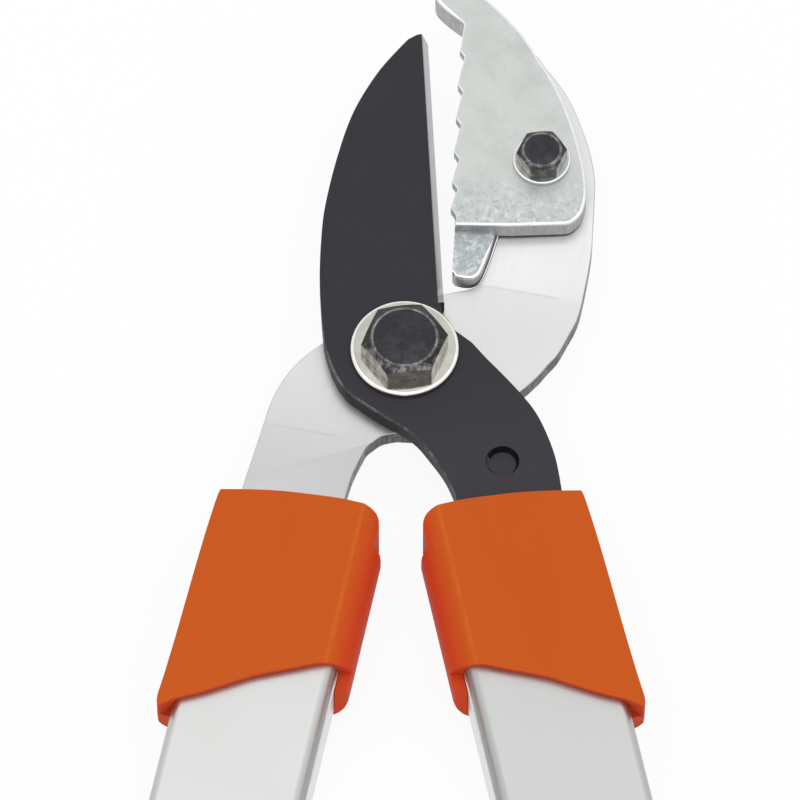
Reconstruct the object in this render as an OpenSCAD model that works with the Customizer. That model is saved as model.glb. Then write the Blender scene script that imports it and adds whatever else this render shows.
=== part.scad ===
// Anvil lopper: two handles, one pivot, a coated blade that closes on an adjustable anvil.
// Millimetres, Z up. The tool lies on its back, the pivot axis is Z, the head points to +Y.
// Origin: on the pivot axis, in the plane on which the tool rests.

/* [Pivot] */
// diameter of the pivot bolt shank
pivot_d = 10; // [8:0.5:12]
// width across flats of the pivot bolt head and nut
pivot_hex = 17; // [15:0.5:19]
// height of the pivot bolt head
pivot_head_h = 4.7; // [3.6:0.1:6]
// height of the lock nut on the back
pivot_nut_h = 6; // [5:0.1:8]
// outer diameter of the bright washer under the head
pivot_washer_d = 24.3; // [21:0.1:28]
// thickness of the bright washer
pivot_washer_t = 1.5; // [1:0.1:2]
// outer diameter of the washer under the nut
back_washer_d = 20; // [18:0.5:24]
// thickness of the washer under the nut
back_washer_t = 1.5; // [1:0.1:2]
// outer diameter of the slide disc between blade and arm
disc_d = 26; // [22:0.5:30]
// thickness of the slide disc
disc_t = 0.36; // [0.3:0.02:0.6]

/* [Blade] */
// pivot axis to blade tip
blade_reach = 81; // [74:1:88]
// cutting edge to the widest point of the spine
blade_w = 27.6; // [25:0.2:30]
// thickness of the blade
blade_t = 4; // [3.4:0.1:4.6]
// distance of the cutting edge line from the pivot axis
edge_offset = 9.5; // [8.8:0.05:9.8]
// width of the ground bevel along the edge
edge_bevel = 1.45; // [1:0.05:1.8]
// lean of the cutting edge from the centre line in the rest pose, degrees
edge_lean = 2.9; // [1.5:0.1:4]
// diameter of the stop boss pressed out of the blade tang
stop_d = 7.5; // [6:0.1:9]
// depth of the dimple and height of the stop boss
stop_h = 1.5; // [0.8:0.1:1.8]
// distance of the stop boss from the pivot axis
stop_r = 35.4; // [34:0.1:37]

/* [Anvil arm] */
// thickness of the arm
arm_t = 4.5; // [4:0.1:5]
// lift of both arm ends above the pivot zone
joggle = 1.55; // [1:0.05:1.9]
// pivot axis to the upper bend of the arm
bend_up = 22.6; // [21:0.1:24]
// pivot axis to the lower bend of the arm
bend_down = 22.1; // [21:0.1:24]
// flat length left ahead of the collar and of the anvil pad
ramp_clear = 0.5; // [0.3:0.1:1]
// pivot axis to the right flank of the arm
arm_flank = 35.9; // [34:0.1:38]
// pivot axis to the top of the arm
arm_reach = 83.2; // [80:0.1:86]
// distance of the notch wall from the arm axis
notch_x = 14.05; // [13.6:0.05:14.8]
// floor of the notch above the pivot axis
notch_y = 18.5; // [17:0.1:19]

/* [Anvil] */
// lean of the anvil face from the centre line, degrees
face_lean = 3; // [2:0.1:4]
// gap left between edge and anvil face when the jaws are shut
shut_gap = 0.1; // [0.05:0.01:0.2]
// thickness of the toothed front plate
plate_t = 2.6; // [2.2:0.1:3.2]
// thickness of the anvil bar behind the plate
bar_t = 4.4; // [4:0.1:5]
// height of the pad between plate and arm
pad_h = 2.1; // [1.6:0.05:2.4]
// pivot axis to the highest tooth
teeth_top = 77.6; // [74:0.2:79]
// length of the toothed edge
teeth_len = 41.5; // [36:0.5:44]
// how far the tooth tips stand out from the anvil face
tooth_out = 1.1; // [0.6:0.05:1.2]
// how far the tooth valleys lie behind the tips
tooth_depth = 1.15; // [0.6:0.05:1.4]
// rise from a tooth valley to its tip
tooth_rise = 1.7; // [1.2:0.1:2.4]
// width of the anvil plate at the bolt
plate_w = 29; // [27:0.5:31]
// lower edge of the anvil plate above the pivot axis
plate_y = 31.8; // [30:0.2:34]
// lower end of the anvil bar above the pivot axis
tab_y = 19.8; // [19.4:0.1:22]
// pivot axis to the top of the hook
hook_top = 95.7; // [93:0.1:98]
// how far the hook reaches over the blade side of the anvil face
hook_out = 7.5; // [6:0.1:9]
// how far the hook is deeper than the plate
hook_drop = 4.3; // [2:0.1:4.4]
// travel of the anvil along the arm
anvil_travel = 0.6; // [0.4:0.05:0.8]
// free gap between the anvil bar and the notch wall
anvil_play = 0.3; // [0.25:0.05:0.5]

/* [Anvil bolt] */
// diameter of the anvil bolt
bolt_d = 6; // [5:0.5:7]
// width across flats of its head and nut
bolt_hex = 10; // [8:0.5:11]
// height of its head
bolt_head_h = 4; // [3:0.1:5]
// height of its nut
bolt_nut_h = 5; // [4:0.1:6]
// outer diameter of its washers
bolt_washer_d = 13; // [11.5:0.5:14]
// thickness of its washers
bolt_washer_t = 1.2; // [0.8:0.1:1.6]
// bolt axis from the anvil face
bolt_in = 18.7; // [17:0.1:20]
// bolt axis above the pivot axis
bolt_y = 49.4; // [46:0.2:52]

/* [Handles] */
// lean of each handle from the centre line, degrees
handle_lean = 12; // [10:0.5:14]
// distance of the left handle axis from the pivot axis
left_offset = 14.05; // [13:0.1:15]
// distance of the right handle axis from the pivot axis
right_offset = 12.4; // [11.5:0.1:13.5]
// height of both handle axes above the rest plane
handle_z = 13; // [12.6:0.1:13.6]
// width of the handle tube
tube_w = 33.2; // [31:0.2:36]
// thickness of the handle tube
tube_h = 15.8; // [14.6:0.2:16.6]
// wall of the handle tube
tube_wall = 1.8; // [1.4:0.1:2.4]
// pivot axis to the upper end of the tube
tube_start = 50; // [49:0.5:52]
// pivot axis to the lower end of the tube
tube_end = 590; // [480:5:720]
// corner radius of the tube face on the inner side
tube_round = 3; // [2:0.1:4]
// corner radius of the other tube corners
tube_corner = 2; // [1.4:0.1:3]
// step of the side rail along the inner side
rail_out = 0.4; // [0.3:0.05:0.8]
// drop of the side rail below the tube face
rail_drop = 4; // [3.4:0.1:6]
// height of the dark groove above the rail
rail_groove = 0.9; // [0.6:0.1:1.2]
// depth of that groove behind the tube face
rail_in = 0.6; // [0.4:0.1:0.9]

/* [Tangs] */
// pivot axis to the shoulder of both tangs
shoulder_s = 47.5; // [46.5:0.1:48.5]
// pivot axis to the end of both tangs
tang_end = 92; // [86:1:100]
// width of the narrow tang inside the tube
tang_w = 18; // [16:0.5:20]
// shift of the narrow tang to the outer side of the tube
tang_shift = 3; // [2:0.1:4]
// width of the arm tang ahead of its shoulder
arm_tang_w = 22.8; // [21.5:0.1:24]
// outer edge of the arm tang from the handle axis
arm_tang_out = 14.3; // [13.6:0.1:15]
// width of the blade tang ahead of its shoulder
blade_tang_w = 22.9; // [21.6:0.1:24]
// outer edge of the blade tang from the handle axis
blade_tang_out = 14; // [13.4:0.1:14.8]
// diameter of the tang rivets
rivet_d = 5; // [4:0.2:6]
// pivot axis to the first rivet
rivet_s = 62; // [60:0.5:66]
// distance between the two rivets of a tang
rivet_pitch = 18; // [14:0.5:20]
// length of the insert beyond the tang end
insert_over = 4; // [2:0.5:8]

/* [Collars] */
// wall of the collar beside the tube
collar_wall = 3; // [2.2:0.1:4.4]
// wall of the collar before and behind the tube
collar_skin = 1.8; // [1.6:0.05:2.6]
// pivot axis to the top of the collar
collar_top = 42.8; // [41.5:0.1:44]
// length of the collar on its outer side
collar_len = 55.5; // [52:0.5:62]
// slant of the lower collar end across the collar
collar_slant = 13; // [10:0.5:16]
// rake of the lower collar end, as a share of its depth
collar_rake_share = 0.2; // [0.1:0.02:0.3]
// depth of the step between the collar face and its foot
collar_step = 7.4; // [5:0.1:9]
// radius of the inner back edge of the collar
collar_round = 7; // [4:0.2:8]
// radius of the bowed inner side, up to its crease with the face
collar_bow = 10; // [8:0.2:11]
// radius of the outer collar edges
collar_corner = 1.4; // [1:0.1:2]
// radius of the outer back edge of the collar
collar_back_round = 8; // [5:0.2:9]
// flare of the lower outer corner of the collar
collar_flare = 0.6; // [0.4:0.1:1.2]
// depth of the step in the inner side, near the top
collar_notch = 1.7; // [1.2:0.05:1.8]

/* [Grips] */
// pivot axis to the upper end of the grip
grip_start = 445; // [360:5:470]
// wall of the grip beside the tube, at its middle
grip_wall = 2.3; // [1.8:0.1:4.4]
// swell of the grip ends beyond that wall
grip_swell = 2.5; // [1.5:0.1:4]
// corner radius of the grip section
grip_round = 9; // [6:0.5:10]
// grooves across each face of a grip
groove_count = 6; // [3:1:9]
// distance between two grooves
groove_pitch = 9; // [7:0.5:11]
// width of a groove
groove_w = 3; // [2:0.2:4]
// depth of a groove
groove_depth = 1.2; // [0.6:0.1:1.8]
// upper end of the grip to the first groove
groove_start = 40; // [30:1:60]
// length of the end cap beyond the tube
cap_len = 20; // [17:0.5:26]
// depth of the cap plug inside the tube
plug_len = 24; // [16:1:36]
// diameter of the hanging hole in each end cap
hang_d = 8; // [6:0.5:9]
// share of the cap length at which the hanging hole sits
hang_share = 0.5; // [0.45:0.01:0.58]

/* [Fits] */
// running gap between flat faces that slide
slide_gap = 0.04; // [0.03:0.01:0.06]
// radial running gap on the pivot and in plain holes
run_gap = 0.05; // [0.03:0.01:0.08]
// gap between pieces that are assembled into each other
fit_gap = 0.1; // [0.08:0.01:0.15]

/* [Show] */
// one sub-part or all of them

/* [Hidden] */

// Facets of round pieces and steps of each outline span
round_fn = 64;
groove_fn = 32;
span_steps = 4;
outline_steps = 6;
arc_steps = 6;
hex_sides = 6;
over = 1;

// Levels from the rest plane upward
arm_z = pivot_nut_h + back_washer_t;
arm_top = arm_z + arm_t;
blade_z = arm_top + disc_t + slide_gap;
blade_top = blade_z + blade_t;
washer_z = blade_top + slide_gap;
head_z = washer_z + pivot_washer_t;
end_z = arm_z + joggle;
end_top = arm_top + joggle;
plate_z = end_top + pad_h;
bar_z = plate_z - bar_t;
tube_front = tube_h / 2;
hole_top = handle_z * 2;

// Derived plan positions
face_x = edge_offset + shut_gap;
tip_x = face_x - tooth_out;
valley_x = tip_x + tooth_depth;
bolt_x = face_x + bolt_in;
left_axis = -left_offset;
right_axis = -right_offset;

// Turns a plan point about the pivot axis
function turn(p, a) = [p[0] * cos(a) - p[1] * sin(a), p[0] * sin(a) + p[1] * cos(a)];

// Catmull-Rom point on the span from b to c
function spline(a, b, c, d, t) =
    b + (c - a) * t / 2 + (a * 2 - b * 5 + c * 4 - d) * t * t / 2
    + (b * 3 - a - c * 3 + d) * t * t * t / 2;

// Smooth open curve through hand-placed points
function smooth(p, n = span_steps) = [
    for (i = [0 : len(p) - 2])
        for (k = [0 : n - 1])
            spline(p[max(i - 1, 0)], p[i], p[i + 1], p[min(i + 2, len(p) - 1)], k / n),
    p[len(p) - 1]];

// Points of an arc in plan or section
function arc(x, y, r, a, b) = [
    for (i = [0 : arc_steps])
        [x + r * cos(a + (b - a) * i / arc_steps), y + r * sin(a + (b - a) * i / arc_steps)]];

// Rounded rectangle, four equal corners, about its centre
function rounded(w, h, r) = concat(
    arc(w / 2 - r, r - h / 2, r, -90, 0),
    arc(w / 2 - r, h / 2 - r, r, 0, 90),
    arc(r - w / 2, h / 2 - r, r, 90, 180),
    arc(r - w / 2, r - h / 2, r, 180, 270));

// Frames: the arm and the left handle share one, the right handle is its mirror image
module on_left() rotate([0, 0, -handle_lean]) children();
module on_right() rotate([0, 0, handle_lean]) mirror([1, 0, 0]) children();
module on_face() rotate([0, 0, -face_lean]) children();

// Plate between two levels
module slab(points, z0, z1) translate([0, 0, z0]) linear_extrude(height = z1 - z0) polygon(points);

// Bar along the handle, its section given about the handle axis
module along(points, axis, s0, s1)
    translate([axis, -s0, handle_z]) rotate([90, 0, 0])
        linear_extrude(height = s1 - s0) polygon(points);

// Round piece standing on a level
module rod(x, y, r, z0, z1, fn = round_fn)
    translate([x, y, z0]) cylinder(h = z1 - z0, r = r, $fn = fn);

// Flat ring
module ring(x, y, d, bore_r, z0, z1) difference() {
    rod(x, y, d / 2, z0, z1);
    rod(x, y, bore_r, z0 - over, z1 + over);
}

// Hexagon head with a chamfered top
chamfer_a = 30;
chamfer_share = 0.86;
module hex_head(x, y, flats, z0, z1, angle) intersection() {
    translate([x, y, z0]) rotate([0, 0, angle])
        cylinder(h = z1 - z0, d = flats / cos(180 / hex_sides), $fn = hex_sides);
    translate([x, y, z0]) rotate_extrude($fn = round_fn) polygon([
        [0, 0],
        [flats / 2 * chamfer_share + (z1 - z0) / tan(chamfer_a), 0],
        [flats / 2 * chamfer_share, z1 - z0],
        [0, z1 - z0]]);
}

// Blade outline: edge and spine in the edge frame, tang in the handle frame
spine_shares = [[0.03, 1.0125], [0.055, 1.014], [0.09, 1.012], [0.141, 1.003], [0.193, 0.989],
    [0.41, 0.904], [0.59, 0.808], [0.70, 0.728],
    [0.796, 0.632], [0.875, 0.537], [0.938, 0.442], [0.974, 0.346], [0.996, 0.25], [1, 0.172],
    [0.996, 0.076], [0.982, 0.02], [0.932, -0.051], [0.866, -0.102], [0.785, -0.136]];
throat_shares = [[-0.96, -0.285], [-0.80, -0.367], [-0.63, -0.462], [-0.53, -0.562],
    [-0.435, -0.682], [-0.39, -0.80], [-0.378, -0.90], [-0.378, -1]];
heel_shares = [[1, -1], [1.005, -0.90], [1.02, -0.80], [1.025, -0.69], [0.998, -0.566],
    [0.945, -0.448], [0.85, -0.338], [0.712, -0.21], [0.607, -0.12], [0.505, -0.022]];
throat_in = throat_shares[len(throat_shares) - 1][0];
edge_foot_share = 0.147;
edge_tip_share = 1.008;
neck_shares = [[0.05, 0.095], [0.031, 0.128], [0.033, 0.1465]];
function edge_pt(s) = turn([edge_offset - s[0] * blade_w, s[1] * blade_reach], edge_lean);
function throat_pt(s) = turn([
    right_offset + blade_tang_out - blade_tang_w + (s[0] - throat_in) * blade_tang_w,
    s[1] * shoulder_s], handle_lean);
function heel_pt(s) = turn([
    right_offset + blade_tang_out + (s[0] - 1) * blade_tang_w, s[1] * shoulder_s], handle_lean);
function tang_pt(x, s) = turn([right_offset + x, -s], handle_lean);
blade_outline = concat(
    [edge_pt([0, edge_foot_share]), edge_pt([0, edge_tip_share])],
    smooth(concat([for (s = spine_shares) edge_pt(s)], [for (s = throat_shares) throat_pt(s)]),
        outline_steps),
    [tang_pt(tang_shift - tang_w / 2, shoulder_s), tang_pt(tang_shift - tang_w / 2, tang_end),
     tang_pt(tang_shift + tang_w / 2, tang_end), tang_pt(tang_shift + tang_w / 2, shoulder_s)],
    smooth([for (s = heel_shares) heel_pt(s)]),
    [for (s = neck_shares) edge_pt(s)]);

// Stop boss, placed on the blade tang
stop_a = -52.3;
stop_x = stop_r * cos(stop_a);
stop_y = stop_r * sin(stop_a);
stop_floor_share = 0.8;

module blade() color([0.17, 0.17, 0.18]) difference() {
    union() {
        slab(blade_outline, blade_z, blade_top);
        rod(stop_x, stop_y, stop_d / 2 - fit_gap, blade_z - stop_h, blade_z + over);
    }
    rod(0, 0, pivot_d / 2 + run_gap, arm_z, head_z);
    translate([stop_x, stop_y, blade_top - stop_h])
        cylinder(h = stop_h, r1 = stop_d / 2 * stop_floor_share, r2 = stop_d / 2, $fn = round_fn);
    rod(stop_x, stop_y, stop_d / 2, blade_top, head_z);
    // Bevel: from the full edge line on the back to a set-back line on the front
    rotate([0, 0, edge_lean]) translate([edge_offset, blade_reach * 2, blade_z]) rotate([90, 0, 0])
        linear_extrude(height = blade_reach * (2 - edge_foot_share)) polygon([
            [0, 0],
            [over, 0],
            [over, blade_t + over],
            [-edge_bevel * (blade_t + over) / blade_t, blade_t + over]]);
    rivet_holes(right_side = true);
}

// Rivet holes of one side, through everything at that place
module rivet_rods(axis, r, z0, z1)
    for (k = [0, 1])
        rod(axis - tang_shift, -rivet_s - k * rivet_pitch, r, z0, z1);
module rivet_holes(right_side) {
    if (right_side) on_right() rivet_rods(right_axis, rivet_d / 2 + run_gap, 0, hole_top);
    else on_left() rivet_rods(left_axis, rivet_d / 2 + run_gap, 0, hole_top);
}

// Anvil arm outline in its own frame, along the left handle
shank_shares = [[1, -1], [0.997, -0.85], [0.985, -0.7], [0.968, -0.53], [0.952, -0.37],
    [0.926, -0.28], [0.884, -0.20], [0.824, -0.122], [0.752, -0.055], [0.66, 0.013], [0.50, 0.14],
    [0.27, 0.27], [0.07, 0.338], [-0.1, 0.368], [-0.18, 0.388]];
flank_shares = [[0.393, 0.901], [0.356, 0.955], [0.346, 0.984], [0.362, 0.996], [0.388, 0.987],
    [0.4345, 0.965], [0.515, 0.933], [0.614, 0.887], [0.716, 0.822], [0.828, 0.733],
    [0.897, 0.656], [0.922, 0.6085], [0.953, 0.521], [0.987, 0.415], [0.997, 0.278],
    [0.989, 0.214], [0.958, 0.159], [0.922, 0.103], [0.875, 0.063], [0.83, 0.024],
    [0.747, -0.030], [0.60, -0.101], [0.40, -0.168], [0.22, -0.208], [0.06, -0.222]];
crotch_shares = [[-0.005, -0.400], [-0.072, -0.422], [-0.122, -0.457], [-0.162, -0.492],
    [-0.184, -0.546], [-0.208, -0.614], [-0.224, -0.70], [-0.23, -0.85], [-0.23, -1]];
notch_shares = [[0.573, 0.065], [0.75, 0.13], [0.826, 0.174], [0.883, 0.2325], [0.918, 0.321],
    [0.9445, 0.449], [0.981, 0.668], [1, 0.9]];
notch_span_share = 0.225;
crotch_in = crotch_shares[len(crotch_shares) - 1][0];
arm_out = left_offset + arm_tang_out;
function shank_pt(s) = [-arm_out * s[0], shoulder_s * s[1]];
function flank_pt(s) = [arm_flank * s[0], arm_reach * s[1]];
function crotch_pt(s) = [
    arm_tang_w - arm_out + (s[0] - crotch_in) * arm_out, shoulder_s * s[1]];
function notch_pt(s) = [notch_x * s[0], notch_y + s[1] * arm_reach * notch_span_share];
arm_outline = concat(
    [[left_axis - tang_shift + tang_w / 2, -shoulder_s],
     [left_axis - tang_shift + tang_w / 2, -tang_end],
     [left_axis - tang_shift - tang_w / 2, -tang_end],
     [left_axis - tang_shift - tang_w / 2, -shoulder_s]],
    smooth([for (s = shank_shares) shank_pt(s)], outline_steps),
    smooth([for (s = notch_shares) notch_pt(s)]),
    smooth([for (s = flank_shares) flank_pt(s)], outline_steps),
    smooth([for (s = crotch_shares) crotch_pt(s)]));

// Side profile of the arm: both ends slope up from the pivot zone and run flat from there on
pad_r = bolt_washer_d / 2;
bolt_arm = turn([bolt_x, bolt_y], handle_lean - face_lean);
ramp_top = bolt_arm[1] - pad_r - ramp_clear;
ramp_low = ramp_clear - collar_top;
arm_profile = [[-tang_end - over, end_z], [ramp_low, end_z], [-bend_down, arm_z],
    [bend_up, arm_z], [ramp_top, end_z], [arm_reach + over, end_z],
    [arm_reach + over, end_top], [ramp_top, end_top], [bend_up, arm_top],
    [-bend_down, arm_top], [ramp_low, end_top], [-tang_end - over, end_top]];
profile_w = arm_flank * 2;
slot_r = bolt_d / 2 + fit_gap;
module anvil_arm() color([0.80, 0.81, 0.82]) difference() {
    on_left() intersection() {
        slab(arm_outline, 0, head_z);
        translate([-profile_w, 0, 0]) rotate([90, 0, 90])
            linear_extrude(height = profile_w * 2) polygon(arm_profile);
    }
    rod(0, 0, pivot_d / 2 + run_gap, 0, head_z);
    // Slot that lets the anvil bolt travel
    on_left() translate([bolt_arm[0], bolt_arm[1], 0]) {
        rod(0, 0, slot_r, 0, head_z);
        rod(0, anvil_travel, slot_r, 0, head_z);
        translate([-slot_r, 0, 0]) cube([slot_r * 2, anvil_travel, head_z]);
    }
    rivet_holes(right_side = false);
}

// Anvil: toothed plate, hook, bar behind it and a pad on the arm
tooth_shares = [1, 0.778, 0.569, 0.353, 0.164, 0];
function tooth(k) = [
    [tip_x, teeth_top - teeth_len * (1 - tooth_shares[k])],
    [valley_x, teeth_top - teeth_len * (1 - tooth_shares[k]) - tooth_rise]];
root_share = 0.365;
hook_root = teeth_top + (hook_top - teeth_top) * root_share;
hook_shares = [[0.06, 0.009], [0.117, 0.083], [0.407, 0.228], [0.669, 0.375], [0.89, 0.53],
    [0.98, 0.66], [0.97, 0.79], [0.85, 0.91], [0.58, 0.99], [0.238, 0.985], [-0.128, 0.87]];
back_shares = [[0.172, 0.926], [0.322, 0.858], [0.470, 0.779], [0.588, 0.69], [0.698, 0.61],
    [0.80, 0.513], [0.88, 0.416], [0.943, 0.319], [0.983, 0.238], [1, 0.174], [1, 0.125],
    [0.974, 0.075], [0.922, 0.042], [0.864, 0.026], [0.74, 0.02], [0.433, 0.008]];
function hook_pt(s) = [face_x - s[0] * hook_out, hook_root + s[1] * (hook_top - hook_root)];
function back_pt(s) = [face_x + s[0] * plate_w, plate_y + s[1] * (hook_top - plate_y)];
hook_outline = smooth([for (s = hook_shares) hook_pt(s)]);
back_outline = smooth([for (s = back_shares) back_pt(s)]);
plate_outline = concat(
    [[valley_x, plate_y]],
    [for (k = [len(tooth_shares) - 1 : -1 : 0]) for (j = [1, 0]) tooth(k)[j]],
    hook_outline,
    back_outline);

// The pad keeps the plate's lower outline, from the bar to past the bolt
pad_left_share = 0.6;
pad_top = bolt_y + pad_r;
pad_low = [for (p = back_outline) if (p[1] < pad_top) p];
pad_left = plate_outline[0] + (pad_low[len(pad_low) - 1] - plate_outline[0]) * pad_left_share;
pad_outline = concat(pad_low, [pad_left, [pad_left[0], pad_top]]);

// The bar: flat face to the blade, back flank parallel to the notch wall
bar_w = notch_x - anvil_play;
bar_end_share = 0.86;
tab_shares = [[0.06, 0.004], [0.20, -0.002], [0.353, -0.002], [0.45, 0.005], [0.52, 0.0165],
    [0.58, 0.039], [0.641, 0.0735], [0.714, 0.12], [0.773, 0.165]];
function flank_x(y) = turn([bar_w, y], face_lean - handle_lean)[0];
bar_rise = hook_root - tab_y;
bar_outline = concat(
    [[face_x, hook_root], [face_x, tab_y + bar_t / 4]],
    smooth([for (s = tab_shares) [
        face_x + s[0] * (flank_x(tab_y) - face_x + bar_t), tab_y + s[1] * bar_rise]]),
    [turn([bar_w, plate_y + bar_t], face_lean - handle_lean),
     turn([bar_w, hook_root * bar_end_share], face_lean - handle_lean)]);
module anvil() color([0.74, 0.77, 0.76]) on_face() difference() {
    union() {
        slab(plate_outline, plate_z, plate_z + plate_t);
        slab(bar_outline, bar_z, plate_z);
        slab(hook_outline, plate_z - hook_drop, plate_z);
        slab(pad_outline, end_top + slide_gap, plate_z);
    }
    rod(bolt_x, bolt_y, bolt_d / 2 + run_gap, 0, head_z + over);
}

// Anvil fasteners
bolt_seat = plate_z + plate_t;
bolt_top_z = bolt_seat + bolt_washer_t;
back_seat = end_z - slide_gap;
nut_seat = back_seat - bolt_washer_t;
bolt_turn = 8;
pivot_turn = 7.5;
module anvil_washer() color([0.78, 0.79, 0.78]) on_face()
    ring(bolt_x, bolt_y, bolt_washer_d, bolt_d / 2 + run_gap, bolt_seat, bolt_top_z);
module anvil_back_washer() color([0.78, 0.79, 0.78]) on_face()
    ring(bolt_x, bolt_y, bolt_washer_d, bolt_d / 2 + run_gap, nut_seat, back_seat);
module anvil_bolt() color([0.12, 0.12, 0.13]) on_face() union() {
    hex_head(bolt_x, bolt_y, bolt_hex, bolt_top_z, bolt_top_z + bolt_head_h, bolt_turn);
    rod(bolt_x, bolt_y, bolt_d / 2, nut_seat - bolt_nut_h, bolt_top_z);
}
module anvil_nut() color([0.78, 0.79, 0.78]) on_face() difference() {
    translate([0, 0, nut_seat]) mirror([0, 0, 1])
        hex_head(bolt_x, bolt_y, bolt_hex, 0, bolt_nut_h, bolt_turn);
    rod(bolt_x, bolt_y, bolt_d / 2 + run_gap, 0, head_z);
}

// Pivot fasteners
module pivot_bolt() color([0.12, 0.12, 0.13]) union() {
    hex_head(0, 0, pivot_hex, head_z, head_z + pivot_head_h, pivot_turn);
    rod(0, 0, pivot_d / 2, 0, head_z);
}
module pivot_washer() color([0.85, 0.82, 0.76])
    ring(0, 0, pivot_washer_d, pivot_d / 2 + run_gap, washer_z, head_z);
module slide_disc() color([0.90, 0.89, 0.84])
    ring(0, 0, disc_d, pivot_d / 2 + run_gap, arm_top, arm_top + disc_t);
module pivot_back_washer() color([0.78, 0.79, 0.78])
    ring(0, 0, back_washer_d, pivot_d / 2 + run_gap, pivot_nut_h, arm_z);
module pivot_nut() color([0.70, 0.71, 0.72]) difference() {
    translate([0, 0, pivot_nut_h]) mirror([0, 0, 1])
        hex_head(0, 0, pivot_hex, 0, pivot_nut_h, pivot_turn);
    rod(0, 0, pivot_d / 2 + run_gap, -over, head_z);
}

// Handle tube: flat face, rounded corner, groove and rail on the inner side
half_w = tube_w / 2;
rail_z = tube_front - rail_drop;
face_half = half_w - rail_out;
function tube_outer(g) = concat(
    arc(half_w - tube_corner, tube_corner - tube_front, tube_corner + g, -90, 0),
    arc(half_w - rail_out / 2, rail_z - rail_groove - rail_out / 2, rail_out / 2 + g, 0, 90),
    [[face_half - rail_in + g, rail_z - rail_groove + g]],
    [[face_half - rail_in + g, rail_z - g]],
    [[face_half + g, rail_z - g]],
    arc(face_half - tube_round, tube_front - tube_round, tube_round + g, 0, 90),
    arc(tube_corner - half_w, tube_front - tube_corner, tube_corner + g, 90, 180),
    arc(tube_corner - half_w, tube_corner - tube_front, tube_corner + g, 180, 270));
hollow_out = half_w - tube_wall;
hollow_in = face_half - rail_in - tube_wall;
hollow_w = hollow_out + hollow_in;
hollow_h = tube_h - tube_wall * 2;
hollow_mid = (hollow_in - hollow_out) / 2;
hollow_r = tube_corner - fit_gap * 2;
function shifted(points, x) = [for (p = points) [p[0] + x, p[1]]];
module tube(axis) difference() {
    along(tube_outer(0), axis, tube_start, tube_end);
    along(shifted(rounded(hollow_w, hollow_h, hollow_r), hollow_mid), axis,
          tube_start - over, tube_end + over);
    rivet_rods(axis, rivet_d / 2 + run_gap, 0, hole_top);
}
module left_tube() color([0.84, 0.85, 0.86]) on_left() tube(left_axis);
module right_tube() color([0.84, 0.85, 0.86]) on_right() tube(right_axis);

// Insert that fills the tube around the tang
module insert(axis, z0, z1) difference() {
    along(shifted(rounded(hollow_w - fit_gap * 2, hollow_h - fit_gap * 2, hollow_r), hollow_mid),
          axis, tube_start, tang_end + insert_over);
    translate([axis - tang_shift - tang_w / 2 - fit_gap, -tang_end - fit_gap, z0 - fit_gap])
        cube([tang_w + fit_gap * 2, tang_end, z1 - z0 + fit_gap * 2]);
    rivet_rods(axis, rivet_d / 2 + run_gap, 0, hole_top);
}
module left_insert() color([0.20, 0.20, 0.21]) on_left() insert(left_axis, end_z, end_top);
module right_insert() color([0.20, 0.20, 0.21]) on_right() insert(right_axis, blade_z, blade_top);
module left_rivets() color([0.62, 0.63, 0.64]) on_left()
    rivet_rods(left_axis, rivet_d / 2, handle_z - tube_front, handle_z + tube_front);
module right_rivets() color([0.62, 0.63, 0.64]) on_right()
    rivet_rods(right_axis, rivet_d / 2, handle_z - tube_front, handle_z + tube_front);

// Collar: section along the handle, cut to its plan outline
collar_half = half_w + collar_wall;
collar_h = tube_h + collar_skin * 2;
collar_wide = collar_half + collar_flare;
bow_a = 63;
collar_section = concat(
    arc(collar_half - collar_round, collar_round - collar_h / 2, collar_round, -90, 0),
    arc(collar_half - collar_bow, collar_h / 2 - collar_bow * sin(bow_a), collar_bow, 0, bow_a),
    arc(collar_corner - collar_wide, collar_h / 2 - collar_corner, collar_corner, 90, 180),
    arc(collar_back_round - collar_wide, collar_back_round - collar_h / 2, collar_back_round, 180, 270));
collar_top_shares = [[-0.895, 0.058], [-0.56, 0.034], [-0.23, 0.016], [0.11, 0.006], [0.40, 0],
    [0.60, 0.001], [0.76, 0.005], [0.863, 0.017], [0.910, 0.040], [0.920, 0.070]];
collar_foot_shares = [[1, -0.22], [0.975, -0.035], [0.90, 0.045], [0.78, 0.09]];
collar_lip_shares = [[-0.80, 1.07], [-0.88, 1.17], [-0.95, 1.205], [-1.005, 1.14], [-1.022, 0.99],
    [-1.016, 0.85]];
collar_side_shares = [[-1.004, 0.91], [-0.982, 0.73], [-0.966, 0.51], [-0.943, 0.27], [-0.915, 0.10],
    [-0.895, 0.058]];
collar_edge_shares = [[1.1, 0.705], [0.68, 0.731], [0.455, 0.764], [-0.01, 0.838], [-0.25, 0.889],
    [-0.53, 0.949], [-0.80, 0.999], [-0.92, 1.03], [-1.1, 1.08]];
notch_at_share = 0.149;
notch_len_share = 0.006;
ear_share = 1.048;
ear_in_share = 0.5;
collar_inner_end = collar_len - collar_slant;
function collar_pt(s) = [s[0] * collar_half, -collar_top - s[1] * collar_len];
function foot_pt(s) = [
    s[0] * collar_half, -collar_top - collar_inner_end - s[1] * collar_slant];
collar_outline = concat(
    smooth([for (s = collar_top_shares) collar_pt(s)]),
    [[collar_half - collar_notch, -collar_top - notch_at_share * collar_len],
     [collar_half, -collar_top - (notch_at_share + notch_len_share) * collar_len]],
    smooth([for (s = collar_foot_shares) foot_pt(s)]),
    smooth([for (s = collar_lip_shares) foot_pt(s)]),
    smooth([for (s = collar_side_shares) collar_pt(s)]));
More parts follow.
